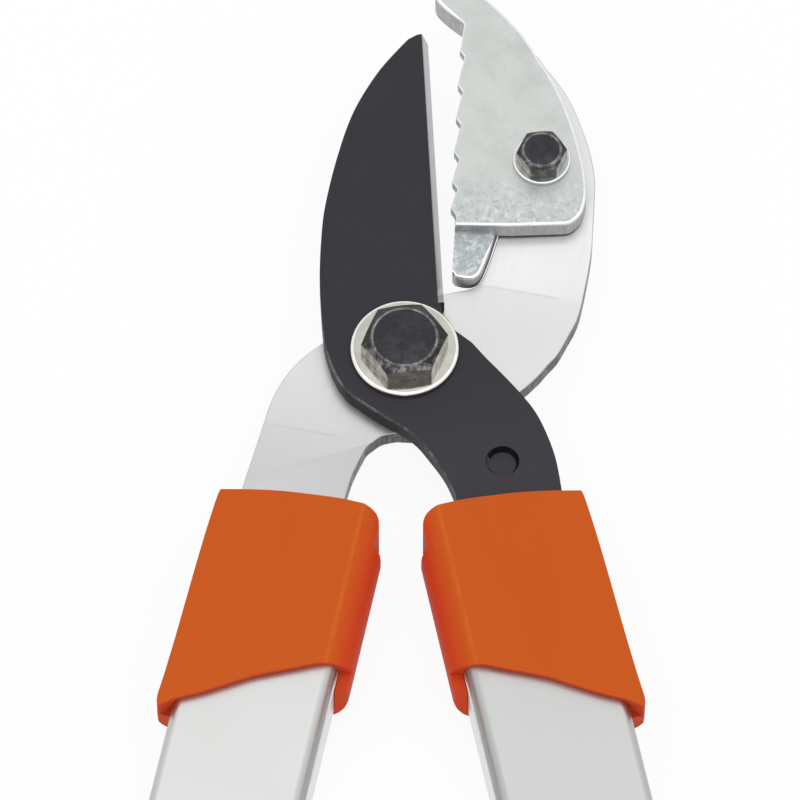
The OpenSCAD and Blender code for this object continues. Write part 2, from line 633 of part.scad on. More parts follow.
// Raked cut that shortens the front face of the collar
collar_cut = concat(
    smooth([for (s = collar_edge_shares) collar_pt(s)]),
    [[-collar_half * 2, -collar_top - collar_len * 2], [collar_half * 2, -collar_top - collar_len * 2]]);
collar_face = handle_z + collar_h / 2;
module collar(axis, out, wide, z0, z1) difference() {
    intersection() {
        along(collar_section, axis, 0, collar_top + collar_len * 2);
        translate([axis, 0, 0]) slab(collar_outline, 0, handle_z * 2);
    }
    translate([axis, 0, collar_face])
        multmatrix([[1, 0, 0, 0], [0, 1, -collar_rake_share, 0], [0, 0, 1, 0], [0, 0, 0, 1]])
            slab(collar_cut, -collar_step, over);
    // Raked end of the outer ear
    translate([axis - collar_half * 2, -collar_top - collar_len * ear_share, collar_face])
        rotate([90, 0, 90]) linear_extrude(height = collar_half * (2 - ear_in_share)) polygon([
            [0, over], [-collar_len, over], [-collar_len, -collar_h],
            [collar_rake_share * collar_h, -collar_h], [0, 0]]);
    along(tube_outer(fit_gap), axis, tube_start - fit_gap, tube_end);
    translate([axis - out - fit_gap, -tube_start - over, z0 - fit_gap])
        cube([wide + fit_gap * 2, tube_start, z1 - z0 + fit_gap * 2]);
}
module left_collar() color([0.93, 0.38, 0.09]) on_left()
    collar(left_axis, arm_tang_out, arm_tang_w, end_z, end_top);
module right_collar() color([0.93, 0.38, 0.09]) on_right()
    collar(right_axis, blade_tang_out, blade_tang_w, blade_z, blade_top);

// Grip sleeve and end cap: one section, cut to a waisted plan outline
grip_half = half_w + grip_wall;
grip_flare = grip_half + grip_swell;
grip_h = handle_z * 2;
grip_len = tube_end - grip_start;
grip_shares = [[0, 0.86], [0.012, 1], [0.045, 1], [0.09, 0.30], [0.16, 0.05], [0.30, 0.22],
    [0.45, 0.45], [0.60, 0.30], [0.75, 0], [0.86, 0.20], [0.95, 0.75], [1, 0.92]];
function grip_pt(s, side) = [
    side * (grip_half + s[1] * (grip_flare - grip_half)), -grip_start - s[0] * grip_len];
grip_side = smooth([for (s = grip_shares) grip_pt(s, 1)]);
grip_outline = concat(
    grip_side, [for (i = [len(grip_side) - 1 : -1 : 0]) [-grip_side[i][0], grip_side[i][1]]]);
cap_shares = [[0.98, 0], [1, 0.2], [0.97, 0.45], [0.86, 0.72], [0.64, 0.92], [0.34, 1], [0, 1.02]];
cap_half = grip_half + grip_shares[len(grip_shares) - 1][1] * (grip_flare - grip_half);
cap_side = smooth([for (s = cap_shares) [s[0] * cap_half, -tube_end - s[1] * cap_len]]);
cap_outline = concat(
    cap_side, [for (i = [len(cap_side) - 1 : -1 : 0]) [-cap_side[i][0], cap_side[i][1]]]);
grip_section = rounded(grip_flare * 2, grip_h, grip_round);
groove_half_share = 0.66;
groove_half = grip_half * groove_half_share;
// Groove with round ends, between two levels
module groove(axis, y, z0, z1) {
    rod(axis - groove_half, y, groove_w / 2, z0, z1, groove_fn);
    rod(axis + groove_half, y, groove_w / 2, z0, z1, groove_fn);
    translate([axis - groove_half, y - groove_w / 2, z0])
        cube([groove_half * 2, groove_w, z1 - z0]);
}
module grip(axis) difference() {
    intersection() {
        along(grip_section, axis, grip_start, tube_end);
        translate([axis, 0, 0]) slab(grip_outline, 0, grip_h);
    }
    along(tube_outer(fit_gap), axis, grip_start - over, tube_end + over);
    for (k = [0 : groove_count - 1]) {
        groove(axis, -grip_start - groove_start - k * groove_pitch, -over, groove_depth);
        groove(axis, -grip_start - groove_start - k * groove_pitch, grip_h - groove_depth, grip_h + over);
    }
}
module left_grip() color([0.16, 0.16, 0.17]) on_left() grip(left_axis);
module right_grip() color([0.16, 0.16, 0.17]) on_right() grip(right_axis);
module end_cap(axis) difference() {
    union() {
        intersection() {
            along(grip_section, axis, tube_end, tube_end + cap_len * 2);
            translate([axis, 0, 0]) slab(cap_outline, 0, grip_h);
        }
        along(shifted(rounded(hollow_w - fit_gap * 2, hollow_h - fit_gap * 2, hollow_r), hollow_mid),
              axis, tube_end - plug_len, tube_end + over);
    }
    rod(axis, -tube_end - cap_len * hang_share, hang_d / 2, -over, grip_h + over);
}
module left_end_cap() color([0.93, 0.38, 0.09]) on_left() end_cap(left_axis);
module right_end_cap() color([0.93, 0.38, 0.09]) on_right() end_cap(right_axis);

blade();
anvil_arm();
anvil();
anvil_bolt();
anvil_washer();
anvil_back_washer();
anvil_nut();
pivot_bolt();
pivot_washer();
slide_disc();
pivot_back_washer();
pivot_nut();
left_tube();
right_tube();
left_insert();
right_insert();
left_rivets();
right_rivets();
left_collar();
right_collar();
left_grip();
right_grip();
left_end_cap();
right_end_cap();
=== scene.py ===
"""Looks of the anvil lopper: finishes, soft edges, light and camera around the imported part."""
import math
import bpy
from mathutils import Matrix, Vector


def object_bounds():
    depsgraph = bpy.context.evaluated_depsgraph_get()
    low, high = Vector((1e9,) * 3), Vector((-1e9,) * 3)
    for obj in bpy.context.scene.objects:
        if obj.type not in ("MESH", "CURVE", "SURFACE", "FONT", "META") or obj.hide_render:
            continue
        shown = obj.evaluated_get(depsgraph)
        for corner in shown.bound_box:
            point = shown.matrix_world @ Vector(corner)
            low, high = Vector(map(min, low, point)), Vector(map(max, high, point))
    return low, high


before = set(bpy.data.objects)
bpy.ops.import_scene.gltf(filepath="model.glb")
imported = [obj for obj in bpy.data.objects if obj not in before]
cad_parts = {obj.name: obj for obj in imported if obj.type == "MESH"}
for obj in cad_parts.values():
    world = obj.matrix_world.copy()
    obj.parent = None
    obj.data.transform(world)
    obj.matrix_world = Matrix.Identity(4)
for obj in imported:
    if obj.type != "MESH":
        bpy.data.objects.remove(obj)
cad_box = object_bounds()
scene = bpy.context.scene
MM = 0.001

# Directions of the pieces in plan, in degrees about Z
HANDLE_LEAN = 12.0
FACE_LEAN = 3.0
EDGE_LEAN = 2.9

# Places in plan, in mm: axes and crease are measured across a handle
PIVOT = (0.0, 0.0)
ANVIL_BOLT = (30.85, 47.85)
STOP_DIMPLE = Vector((21.65, -28.01))
LEFT_AXIS = -14.05
RIGHT_AXIS = -12.4
COLLAR_CREASE = 14.14

# Places along the blade, arm and anvil between which a finish fades, in mm
BLADE_TANG = (-45.0, 10.0)
ARM_TANG = (-28.0, 2.0)
ARM_HEAD = (8.0, 30.0)
PLATE_LOW = (29.0, 50.0)

# Bends of the arm, where a painted shade line is drawn, in mm: place along it, left end, right end
BENDS = ((22.6, 13.0, 33.0), (-22.1, -27.5, -8.0))
BEND_FADE = 5.0

# Heights between which a painted shade or highlight fades, in mm
BEVEL_TOP = (15.75, 16.1)
TAB_TOP = (15.7, 16.4)
COLLAR_WALL = (15.0, 18.0)
COLLAR_FACE = (21.5, 22.3)
TUBE_CORNER = (17.6, 20.7)

# Distances from its middle over which a drawn line fades, in mm
THIN_LINE = (0.05, 0.45)
CREASE_LINE = (0.15, 0.75)

# Middle range of one pattern, and of two that are added
MID = (0.3, 0.7)
MID_OF_TWO = (0.7, 1.3)

# Orange of the collars and end caps: face, flow shade, painted highlight on the crease, painted shade
# on the walls
ORANGE = (0.572, 0.099, 0.0145, 1)
ORANGE_LIGHT = (0.597, 0.104, 0.0155, 1)
ORANGE_PAINTED_HIGHLIGHT = (0.650, 0.128, 0.022, 1)
ORANGE_WALL_PAINTED_SHADE = (0.69, 0.070, 0.0205, 1)


def metres(sizes):
    return [size * MM for size in sizes]


class Finish:
    """A node material, with short names for the patterns that it is made of."""

    def __init__(self, name, turn=0.0, **sockets):
        self.mat = bpy.data.materials.new(name)
        self.mat.use_nodes = True
        self.tree = self.mat.node_tree
        self.shader = self.tree.nodes["Principled BSDF"]
        for key, value in sockets.items():
            self.shader.inputs[key.replace("_", " ")].default_value = value
        here = self.tree.nodes.new("ShaderNodeTexCoord").outputs["Object"]
        self.place = self.stretched((1, 1, 1), turn, here)

    def new(self, kind, **values):
        node = self.tree.nodes.new(kind)
        for key, value in values.items():
            setattr(node, key, value)
        return node

    def feed(self, socket, value):
        """Links a socket, or sets a plain value on it."""
        if isinstance(value, bpy.types.NodeSocket):
            self.tree.links.new(value, socket)
        else:
            socket.default_value = value

    def to(self, key, value):
        self.feed(self.shader.inputs[key], value)

    def stretched(self, scale, turn=0.0, vector=None):
        node = self.new("ShaderNodeMapping")
        self.feed(node.inputs["Vector"], vector or self.place)
        node.inputs["Rotation"].default_value = (0, 0, math.radians(turn))
        node.inputs["Scale"].default_value = scale
        return node.outputs["Vector"]

    def noise(self, scale, detail=3.0, rough=0.55, vector=None, twist=0.0):
        node = self.new("ShaderNodeTexNoise")
        self.feed(node.inputs["Vector"], vector or self.place)
        node.inputs["Scale"].default_value = scale
        node.inputs["Detail"].default_value = detail
        node.inputs["Roughness"].default_value = rough
        node.inputs["Distortion"].default_value = twist
        return node.outputs["Fac"]

    def cells(self, scale, out="Distance"):
        node = self.new("ShaderNodeTexVoronoi")
        self.feed(node.inputs["Vector"], self.place)
        node.inputs["Scale"].default_value = scale
        return node.outputs[out]

    def span(self, value, low, high, to_low=0.0, to_high=1.0):
        """Maps low..high to another range, held at its ends."""
        node = self.new("ShaderNodeMapRange", interpolation_type="SMOOTHSTEP")
        for key, v in (("Value", value), ("From Min", low), ("From Max", high),
                       ("To Min", to_low), ("To Max", to_high)):
            self.feed(node.inputs[key], v)
        return node.outputs["Result"]

    def calc(self, op, a, b=None):
        node = self.new("ShaderNodeMath", operation=op)
        self.feed(node.inputs[0], a)
        if b is not None:
            self.feed(node.inputs[1], b)
        return node.outputs[0]

    def times(self, a, b):
        return self.calc("MULTIPLY", a, b)

    def plus(self, a, b):
        return self.calc("ADD", a, b)

    def apart(self, a, b):
        """Distance between two values."""
        return self.calc("ABSOLUTE", self.calc("SUBTRACT", a, b))

    def reach(self, x, y):
        """Length of a vector in plan."""
        return self.calc("SQRT", self.plus(self.times(x, x), self.times(y, y)))

    def blend(self, amount, a, b):
        """Colour a where amount is 0, b where it is 1."""
        node = self.new("ShaderNodeMix", data_type="RGBA")
        self.feed(node.inputs[0], amount)
        self.feed(node.inputs[6], a)
        self.feed(node.inputs[7], b)
        return node.outputs[2]

    def axes(self, vector=None):
        """Sockets X, Y and Z of a vector, or of the place on the part."""
        node = self.new("ShaderNodeSeparateXYZ")
        self.feed(node.inputs[0], vector or self.place)
        return node.outputs

    def level(self):
        """1 on faces that look up, 0 on upright walls."""
        node = self.new("ShaderNodeNewGeometry")
        return self.axes(node.outputs["Normal"])["Z"]

    def bump(self, height, depth_mm, strength):
        node = self.new("ShaderNodeBump")
        node.inputs["Strength"].default_value = strength
        node.inputs["Distance"].default_value = depth_mm * MM
        self.feed(node.inputs["Height"], height)
        return node.outputs["Normal"]


def blade_coat():
    """Matte dark coating: soft clouds, fine specks, faint rubbed streaks, greyer towards the tang."""
    f = Finish("blade_coat", -EDGE_LEAN, Metallic=0.0, IOR=1.35)
    y = f.axes()["Y"]
    clouds = f.noise(110, 4, 0.6)
    streaks = f.noise(1, 4, 0.7, f.stretched((900, 70, 400)))
    specks = f.noise(2600, 2, 0.6)
    grain = f.noise(5200, 2, 0.5)
    base = f.blend(f.span(clouds, *MID), (0.0160, 0.0150, 0.0215, 1), (0.0205, 0.0193, 0.0268, 1))
    base = f.blend(f.span(y, *metres(BLADE_TANG), 0.85, 0), base, (0.0335, 0.0322, 0.0400, 1))
    base = f.blend(f.span(streaks, 0.62, 0.86, 0, 0.25), base, (0.040, 0.039, 0.045, 1))
    base = f.blend(f.span(specks, 0.5, 0.72, 0, 0.5), base, (0.033, 0.032, 0.037, 1))
    f.to("Base Color", base)
    f.to("Roughness", f.span(f.plus(clouds, f.times(grain, 0.5)), 0.5, 1.0, 0.40, 0.52))
    f.to("Normal", f.bump(grain, 0.012, 0.55))
    return f.mat


def wall_coat_painted_shade():
    """Coating on the upright walls of the blade and the sloped wall of its dimple, darkened as a
    painted shade.
    """
    f = Finish("wall_coat_painted_shade", Metallic=0.0, IOR=1.3)
    clouds = f.noise(420, 5, 0.65)
    chips = f.noise(900, 4)
    base = f.blend(f.span(clouds, *MID), (0.0015, 0.0015, 0.002, 1), (0.007, 0.007, 0.008, 1))
    f.to("Base Color", f.blend(f.span(chips, 0.62, 0.8, 0, 0.6), base, (0.05, 0.05, 0.052, 1)))
    f.to("Roughness", f.span(clouds, *MID, 0.42, 0.55))
    return f.mat


def blade_worn_and_painted_highlight():
    """Rubbed rim of the coating round the heel, where the steel starts to show, lightened further as a
    painted highlight.
    """
    f = Finish("blade_worn_and_painted_highlight", -EDGE_LEAN, Metallic=0.0, IOR=1.4)
    patch = f.noise(260, 5, 0.65)
    dark, light = (0.030, 0.030, 0.033, 1), (0.19, 0.19, 0.195, 1)
    f.to("Base Color", f.blend(f.span(patch, 0.42, 0.68), dark, light))
    f.to("Roughness", f.span(patch, *MID, 0.42, 0.30))
    return f.mat


def ground_steel():
    """Bare ground bevel: fine lines across the edge, darkened beside the coating as a painted shade."""
    f = Finish("ground_steel", -EDGE_LEAN, Metallic=1.0)
    z = f.axes()["Z"]
    lines = f.noise(1, 3, 0.6, f.stretched((300, 7000, 300)))
    soft = f.noise(180, 3)
    base = f.blend(f.span(lines, *MID), (0.42, 0.42, 0.43, 1), (0.53, 0.53, 0.54, 1))
    base = f.blend(f.span(soft, 0.5, 0.8, 0, 0.3), base, (0.34, 0.34, 0.35, 1))
    # Painted shade: the bevel darkens towards its top, beside the coating.
    base = f.blend(f.span(z, *metres(BEVEL_TOP), 0, 0.8), base, (0.13, 0.13, 0.135, 1))
    f.to("Base Color", base)
    f.to("Roughness", f.span(lines, *MID, 0.26, 0.40))
    f.to("Normal", f.bump(lines, 0.01, 0.5))
    return f.mat


def arm_face():
    """Satin plated steel, faint lengthwise polish, painted light towards the head, painted shade
    towards the handle and along each bend.
    """
    f = Finish("arm_face", HANDLE_LEAN, Metallic=1.0)
    x, y = f.axes()[:2]
    polish = f.noise(1, 4, 0.6, f.stretched((1100, 55, 300)))
    haze = f.noise(60, 3, 0.5)
    grain = f.noise(3600, 2, 0.5)
    base = f.blend(f.span(haze, *MID), (0.595, 0.598, 0.594, 1), (0.615, 0.617, 0.611, 1))
    # Painted light: lighter towards the head, and painted shade darker towards the handle.
    base = f.blend(f.span(y, *metres(ARM_HEAD)), base, (0.655, 0.657, 0.650, 1))
    base = f.blend(f.span(y, *metres(ARM_TANG), 0.85, 0), base, (0.520, 0.526, 0.526, 1))
    base = f.blend(f.span(polish, 0.35, 0.75, 0, 0.06), base, (0.52, 0.525, 0.53, 1))
    # A painted shade line along each bend, broken up by noise.
    for at, left, right in BENDS:
        line = f.span(f.apart(y, at * MM), *metres(THIN_LINE), 1, 0)
        line = f.times(line, f.span(x, left * MM, (left + BEND_FADE) * MM))
        line = f.times(line, f.span(x, (right - BEND_FADE) * MM, right * MM, 1, 0))
        line = f.times(line, f.span(f.noise(240, 3), 0.3, 0.6, 0.35, 0.8))
        base = f.blend(f.times(line, 0.55), base, (0.42, 0.42, 0.43, 1))
    f.to("Base Color", base)
    f.to("Roughness", f.span(f.plus(polish, haze), *MID_OF_TWO, 0.33, 0.40))
    f.to("Normal", f.bump(grain, 0.008, 0.35))
    return f.mat


def cut_steel_painted_shade(name, dark, light):
    """Sheared edge of a steel plate: upright marks, duller than the face and darkened as a painted
    shade.
    """
    f = Finish(name, Metallic=1.0)
    marks = f.noise(1, 3, 0.65, f.stretched((1600, 1600, 90)))
    band = f.noise(500, 3)
    dark, light = (dark, dark, dark * 1.02, 1), (light, light, light * 1.01, 1)
    f.to("Base Color", f.blend(f.span(marks, *MID), dark, light))
    f.to("Roughness", f.span(band, *MID, 0.34, 0.5))
    f.to("Normal", f.bump(marks, 0.03, 0.5))
    return f.mat


def zinc_plate():
    """Zinc plating with cloudy spangle, mottled with grey and white towards the lower end, the tab
    darkened as a painted shade.
    """
    f = Finish("zinc_plate", FACE_LEAN, Metallic=1.0)
    y, z = f.axes()[1:]
    spangle = f.new("ShaderNodeRGBToBW")
    f.feed(spangle.inputs[0], f.cells(420, "Color"))
    clouds = f.noise(150, 5, 0.6, twist=0.4)
    spots = f.noise(780, 4, 0.65, twist=0.8)
    bloom = f.noise(560, 4, 0.6)
    base = f.blend(f.span(clouds, *MID), (0.479, 0.507, 0.486, 1), (0.546, 0.575, 0.550, 1))
    base = f.blend(f.times(spangle.outputs[0], 0.10), base, (0.64, 0.66, 0.65, 1))
    low = f.span(y, *metres(PLATE_LOW), 1, 0.10)
    mottle = f.times(low, 0.85)
    base = f.blend(f.times(low, 0.35), base, (0.47, 0.50, 0.515, 1))
    base = f.blend(f.times(f.span(spots, 0.46, 0.66), mottle), base, (0.320, 0.345, 0.362, 1))
    base = f.blend(f.times(f.span(bloom, 0.52, 0.68), mottle), base, (0.67, 0.69, 0.69, 1))
    # Painted shade on the lower tab, with light mottled flecks over it.
    tab = f.span(z, *metres(TAB_TOP), 1, 0)
    base = f.blend(f.times(tab, 0.65), base, (0.30, 0.325, 0.34, 1))
    flecks = f.span(f.noise(720, 4, 0.65, twist=0.6), 0.46, 0.62, 0, 0.75)
    f.to("Base Color", f.blend(f.times(tab, flecks), base, (0.60, 0.63, 0.635, 1)))
    f.to("Roughness", f.span(clouds, *MID, 0.34, 0.46))
    f.to("Normal", f.bump(f.plus(clouds, f.times(spots, 0.4)), 0.05, 0.35))
    return f.mat


def zinc_part(name, dark, light, rough):
    """Bright zinc on small turned and stamped parts."""
    f = Finish(name, Metallic=1.0)
    clouds = f.noise(420, 4, 0.6)
    f.to("Base Color", f.blend(f.span(clouds, *MID), dark, light))
    f.to("Roughness", f.span(clouds, *MID, rough - 0.05, rough + 0.07))
    f.to("Normal", f.bump(f.noise(2600, 2), 0.008, 0.4))
    return f.mat


def black_oxide(name, worn, dark, light, rub_and_sheen_tone, rough=(0.26, 0.42), ior=1.4, ring=None):
    """Black bolt: cloudy oxide, rubbed in patches, and along a ring (centre, radius) if given, which
    also fades the rubbing towards the back as a painted reflection.
    """
    f = Finish(name, Metallic=0.0, IOR=ior)
    clouds = f.noise(330, 5, 0.65, twist=0.6)
    fine = f.noise(2400, 3, 0.6)
    patches = f.plus(f.noise(520, 5, 0.7), f.times(fine, 0.25))
    rub = f.span(patches, 0.52, 0.78, 0, worn)
    if ring:
        centre, radius = ring
        x, y = f.axes()[:2]
        dx, dy = f.calc("SUBTRACT", x, centre[0] * MM), f.calc("SUBTRACT", y, centre[1] * MM)
        near = f.span(f.apart(f.reach(dx, dy), radius * MM), *metres(THIN_LINE), 1, 0)
        # Painted reflection: the rubbing is strongest on the front side and fades towards the back.
        rub = f.times(rub, f.span(dy, -radius * MM, 0.2 * radius * MM, 1, 0.12))
        rub = f.calc("MAXIMUM", rub, f.times(near, f.span(patches, 0.42, 0.80, 0.12, 0.9)))
    f.to("Base Color", f.blend(rub, f.blend(f.span(clouds, 0.35, 0.65), dark, light), rub_and_sheen_tone))
    f.to("Metallic", f.times(rub, 0.8))
    f.to("Roughness", f.span(clouds, *MID, *rough))
    f.to("Normal", f.bump(f.plus(clouds, fine), 0.03, 0.35))
    return f.mat


def bolt_looks(name, centre, radius):
    """Finishes of a bolt head, in the order of bolt_faces; the top is rubbed at a radius in mm; chamfer
    and lower side hold painted shade, other sides painted reflection.
    """
    ring = (centre, radius)
    return [
        black_oxide(name + "_top", 0.06, (0.0048, 0.0045, 0.0075, 1), (0.0205, 0.0190, 0.0280, 1),
                    (0.50, 0.485, 0.475, 1), ring=ring),
        black_oxide(name + "_rim", 0.8, (0.030, 0.030, 0.032, 1), (0.080, 0.079, 0.080, 1),
                    (0.30, 0.295, 0.29, 1)),
        black_oxide(name + "_chamfer", 0.65, (0.0015, 0.0015, 0.002, 1), (0.012, 0.0115, 0.012, 1),
                    (0.36, 0.35, 0.335, 1), (0.14, 0.26), ring=ring),
        black_oxide(name + "_lower_worn_and_painted_shade", 0.55, (0.005, 0.0045, 0.0032, 1), (0.036, 0.033, 0.0245, 1),
                    (0.26, 0.24, 0.19, 1), (0.22, 0.36), 1.5),
        black_oxide(name + "_side", 1.0, (0.10, 0.098, 0.090, 1), (0.22, 0.215, 0.20, 1),
                    (0.62, 0.60, 0.55, 1), (0.18, 0.30), 1.5)]


def bright_nickel(name, dark, light, rough):
    """Polished warm washer with turning marks round its axis."""
    f = Finish(name, Metallic=1.0)
    ring = f.new("ShaderNodeCombineXYZ")
    f.feed(ring.inputs[0], f.reach(*f.axes()[:2]))
    marks = f.noise(6000, 2, 0.5, ring.outputs[0])
    haze = f.noise(300, 4)
    f.to("Base Color", f.blend(f.span(haze, *MID), dark, light))
    f.to("Roughness", f.span(f.plus(marks, haze), *MID_OF_TWO, rough - 0.03, rough + 0.03))
    f.to("Normal", f.bump(marks, 0.004, 0.25))
    return f.mat


def moulded(name, dark, light, turn, rough, wall=None, crease=0.0):
    """Coloured moulding with a fine sparked texture and slight flow shades.

    With a wall colour it turns deeper on its walls and low down as a painted shade, with a painted
    highlight along a crease (place in mm).
    """
    f = Finish(name, turn, Metallic=0.0, IOR=1.3)
    flow = f.noise(1, 3, 0.5, f.stretched((70, 22, 70)))
    skin = f.noise(2600, 2, 0.6)
    base = f.blend(f.span(flow, *MID), dark, light)
    if wall:
        x, _, z = f.axes()
        # Painted shade: walls and the low part turn a deeper red.
        steep = f.span(f.level(), 0.45, 0.97, 1, 0)
        side = f.calc("MAXIMUM", steep, f.span(z, *metres(COLLAR_WALL), 1, 0))
        base = f.blend(side, base, wall)
        # Painted highlight: a light line along the crease on the top face.
        line = f.span(f.apart(x, crease * MM), *metres(CREASE_LINE), 1, 0)
        line = f.times(line, f.span(z, *metres(COLLAR_FACE)))
        line = f.times(line, f.span(f.noise(300, 3), 0.35, 0.6, 0.45, 0.9))
        base = f.blend(line, base, ORANGE_PAINTED_HIGHLIGHT)
        f.to("Specular IOR Level", 0.08)
    f.to("Base Color", base)
    f.to("Roughness", f.span(skin, *MID, rough - 0.05, rough + 0.07))
    f.to("Normal", f.bump(skin, 0.02, 0.4))
    return f.mat


def anodised(name, turn, tone, rough=0.40, deep=None):
    """Satin anodised tube with faint drawn lines; deep is a painted shade tone at the foot of its
    corner.
    """
    f = Finish(name, turn, Metallic=1.0)
    lines = f.noise(1, 4, 0.65, f.stretched((2400, 6, 2400)))
    haze = f.noise(40, 3)
    both = f.plus(lines, haze)
    pale = (tone, tone * 1.016, tone * 0.998, 1)
    dull = (tone * 0.97, tone * 0.985, tone * 0.97, 1)
    base = f.blend(f.span(both, 0.75, 1.25), dull, pale)
    if deep:
        foot = f.span(f.axes()["Z"], *metres(TUBE_CORNER), 1, 0)
        base = f.blend(foot, base, (deep, deep * 1.01, deep, 1))
    f.to("Base Color", base)
    f.to("Roughness", f.span(both, *MID_OF_TWO, rough - 0.04, rough + 0.05))
    f.to("Normal", f.bump(lines, 0.006, 0.25))
    return f.mat


def grip_rubber(name, turn):
    """Soft black grip: pebbled skin, dusty where hands rub it."""
    f = Finish(name, turn, Metallic=0.0)
    pebble = f.cells(1150)
    dust = f.noise(55, 4, 0.6)
    dark, light = (0.014, 0.014, 0.015, 1), (0.030, 0.030, 0.031, 1)
    f.to("Base Color", f.blend(f.span(dust, 0.35, 0.75), dark, light))
    f.to("Roughness", f.span(dust, *MID, 0.58, 0.74))
    f.to("Normal", f.bump(pebble, 0.12, 0.6))
    return f.mat


def rim_weights(mesh, share, angle):
    """Bevel weight of each outward rim, given by share(middle, level); edges without one stay sharp."""
    def key(ends):
        return frozenset(tuple(round(c, 6) for c in mesh.vertices[i].co) for i in ends)
    faces = {}
    for face in mesh.polygons:
        for ends in face.edge_keys:
            faces.setdefault(key(ends), []).append(face)
    weight = mesh.attributes.new("bevel_weight_edge", "FLOAT", "EDGE")
    sharp = mesh.attributes.new("sharp_edge", "BOOLEAN", "EDGE")
    for edge in mesh.edges:
        pair = faces.get(key(edge.vertices), [])
        if len(pair) != 2:
            continue
        a, b = pair
        middle = (mesh.vertices[edge.vertices[0]].co + mesh.vertices[edge.vertices[1]].co) / 2
        if a.normal.angle(b.normal) > math.radians(angle):
            outward = a.normal.dot(b.center - middle) < 0
            value = share(middle, max(a.normal.z, b.normal.z)) if outward else 0.0
            weight.data[edge.index].value = value
            sharp.data[edge.index].value = value == 0.0


# Welding distance in mm, and the largest angle in degrees between faces that count as one
WELD = 0.001
FLAT_ANGLE = 0.4


def dress(name, looks, edge_mm, segments=2, rim=None, pick=None, angle=32, share=None):
    """Gives a CAD node its finishes and soft edges. pick(normal, centre) names the finish of a face."""
    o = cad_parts[name]
    mesh = o.data
    for attribute in ("custom_normal", "sharp_edge", "sharp_face"):
        if attribute in mesh.attributes:
            mesh.attributes.remove(mesh.attributes[attribute])
    mesh.materials.clear()
    for look in looks:
        mesh.materials.append(look)
    for face in mesh.polygons:
        face.use_smooth = not (share and abs(face.normal.z) > 0.999)
        face.material_index = pick(face.normal, face.center) if pick else 0
    weld = o.modifiers.new("weld", "WELD")
    weld.merge_threshold = WELD * MM
    flat = o.modifiers.new("flat", "DECIMATE")
    flat.decimate_type = "DISSOLVE"
    flat.angle_limit = math.radians(FLAT_ANGLE)
    flat.delimit = {"MATERIAL"}
    soft = o.modifiers.new("soft_edges", "BEVEL")
    soft.limit_method = "WEIGHT" if share else "ANGLE"
    soft.angle_limit = math.radians(angle)
    soft.width = edge_mm * MM
    soft.segments = segments
    soft.use_clamp_overlap = not share
    if share:
        rim_weights(mesh, share, angle)
    if rim is not None:
        soft.material = rim
    shade = o.modifiers.new("shade", "WEIGHTED_NORMAL")
    shade.weight = 50
    shade.keep_sharp = bool(share)


def turned(vector, degrees):
    return Matrix.Rotation(math.radians(degrees), 3, "Z") @ vector


# A wall has a normal this far from upright at least, a rim has a face that looks up this much
WALL = 0.5
RIM = 0.9

# Dimple of the blade, in mm: radius, height of its foot and rim
DIMPLE_R = 4.0
DIMPLE_Z = (15.0, 16.3)


def blade_faces(normal, centre):
    """Slots of the blade: coating, bare bevel, rubbed rims with painted highlight (by the bevel), walls
    and dimple wall in painted shade.
    """
    n = turned(normal, -EDGE_LEAN)
    if n.x > 0.8 and 0.15 < n.z < 0.55:
        return 1
    inside = (centre.xy / MM - STOP_DIMPLE).length < DIMPLE_R
    dimple = inside and DIMPLE_Z[0] < centre.z / MM < DIMPLE_Z[1]
    # Walls and the dimple's sloped wall take the coating darkened as a painted shade.
    return 3 if abs(normal.z) < WALL or dimple else 0


# Heel of the blade, in mm: its ends in plan, how far its rim fades there, reach of the pivot bore
HEEL_X, HEEL_Y = 14.0, 12.0
HEEL_FADE_X, HEEL_FADE_Y = 10.0, 20.0
BORE_REACH = 10.0


def blade_rims(middle, level):
    """Rims of the blade: only round its heel, fading out at both ends."""
    x, y = middle.x / MM, middle.y / MM
    if level < RIM or math.hypot(x, y) < BORE_REACH or y > HEEL_Y or x > HEEL_X:
        return 0.0
    return min(1.0, (HEEL_Y - y) / HEEL_FADE_Y) * min(1.0, (HEEL_X - x) / HEEL_FADE_X)


def plate_faces(normal, centre):
    """Slots of plates: face, cut edge in painted shade."""
    return 1 if abs(normal.z) < WALL else 0


# Anvil, in mm: span of its lower wall, heights of the pad's foot, the tab and the plate, end of
# the tab's rim, and the places of face, hook root and hook
LOW_WALL = (30.0, 40.0)
PAD_FOOT = (13.5, 13.7)
TAB_LEVEL = (15.5, 15.8)
PLATE_LEVEL = 17.0
TAB_END, TAB_FADE = 30.0, 4.0
FACE_X = 9.8
HOOK_X, HOOK_FADE, HOOK_Y = 8.4, 5.0, 92.0
TOOTH_RIM = 0.4


def anvil_faces(normal, centre):
    """Slots of the anvil: face, cut edge in painted shade, rim in painted highlight (by the bevel),
    lower wall of plate and pad in its own painted shade.
    """
    p = turned(centre, FACE_LEAN) / MM
    if normal.y < -0.5 and LOW_WALL[0] < p.y < LOW_WALL[1] and p.z > PAD_FOOT[0]:
        return 3
    return plate_faces(normal, centre)


def anvil_rims(middle, level):
    """Rims of the anvil: wide along the plate and the tab, narrow on the teeth, none elsewhere."""
    p = turned(middle, FACE_LEAN) / MM
    if level < RIM or (p.z < PLATE_LEVEL and p.x < FACE_X) or PAD_FOOT[0] < p.z < PAD_FOOT[1]:
        return 0.0
    if TAB_LEVEL[0] < p.z < TAB_LEVEL[1] and p.y > TAB_END - TAB_FADE:
        return max(0.0, (TAB_END - p.y) / TAB_FADE)
    if p.x < FACE_X and p.y < HOOK_Y:
        return min(1.0, max(TOOTH_RIM, TOOTH_RIM + (HOOK_X - p.x) / HOOK_FADE))
    return 1.0


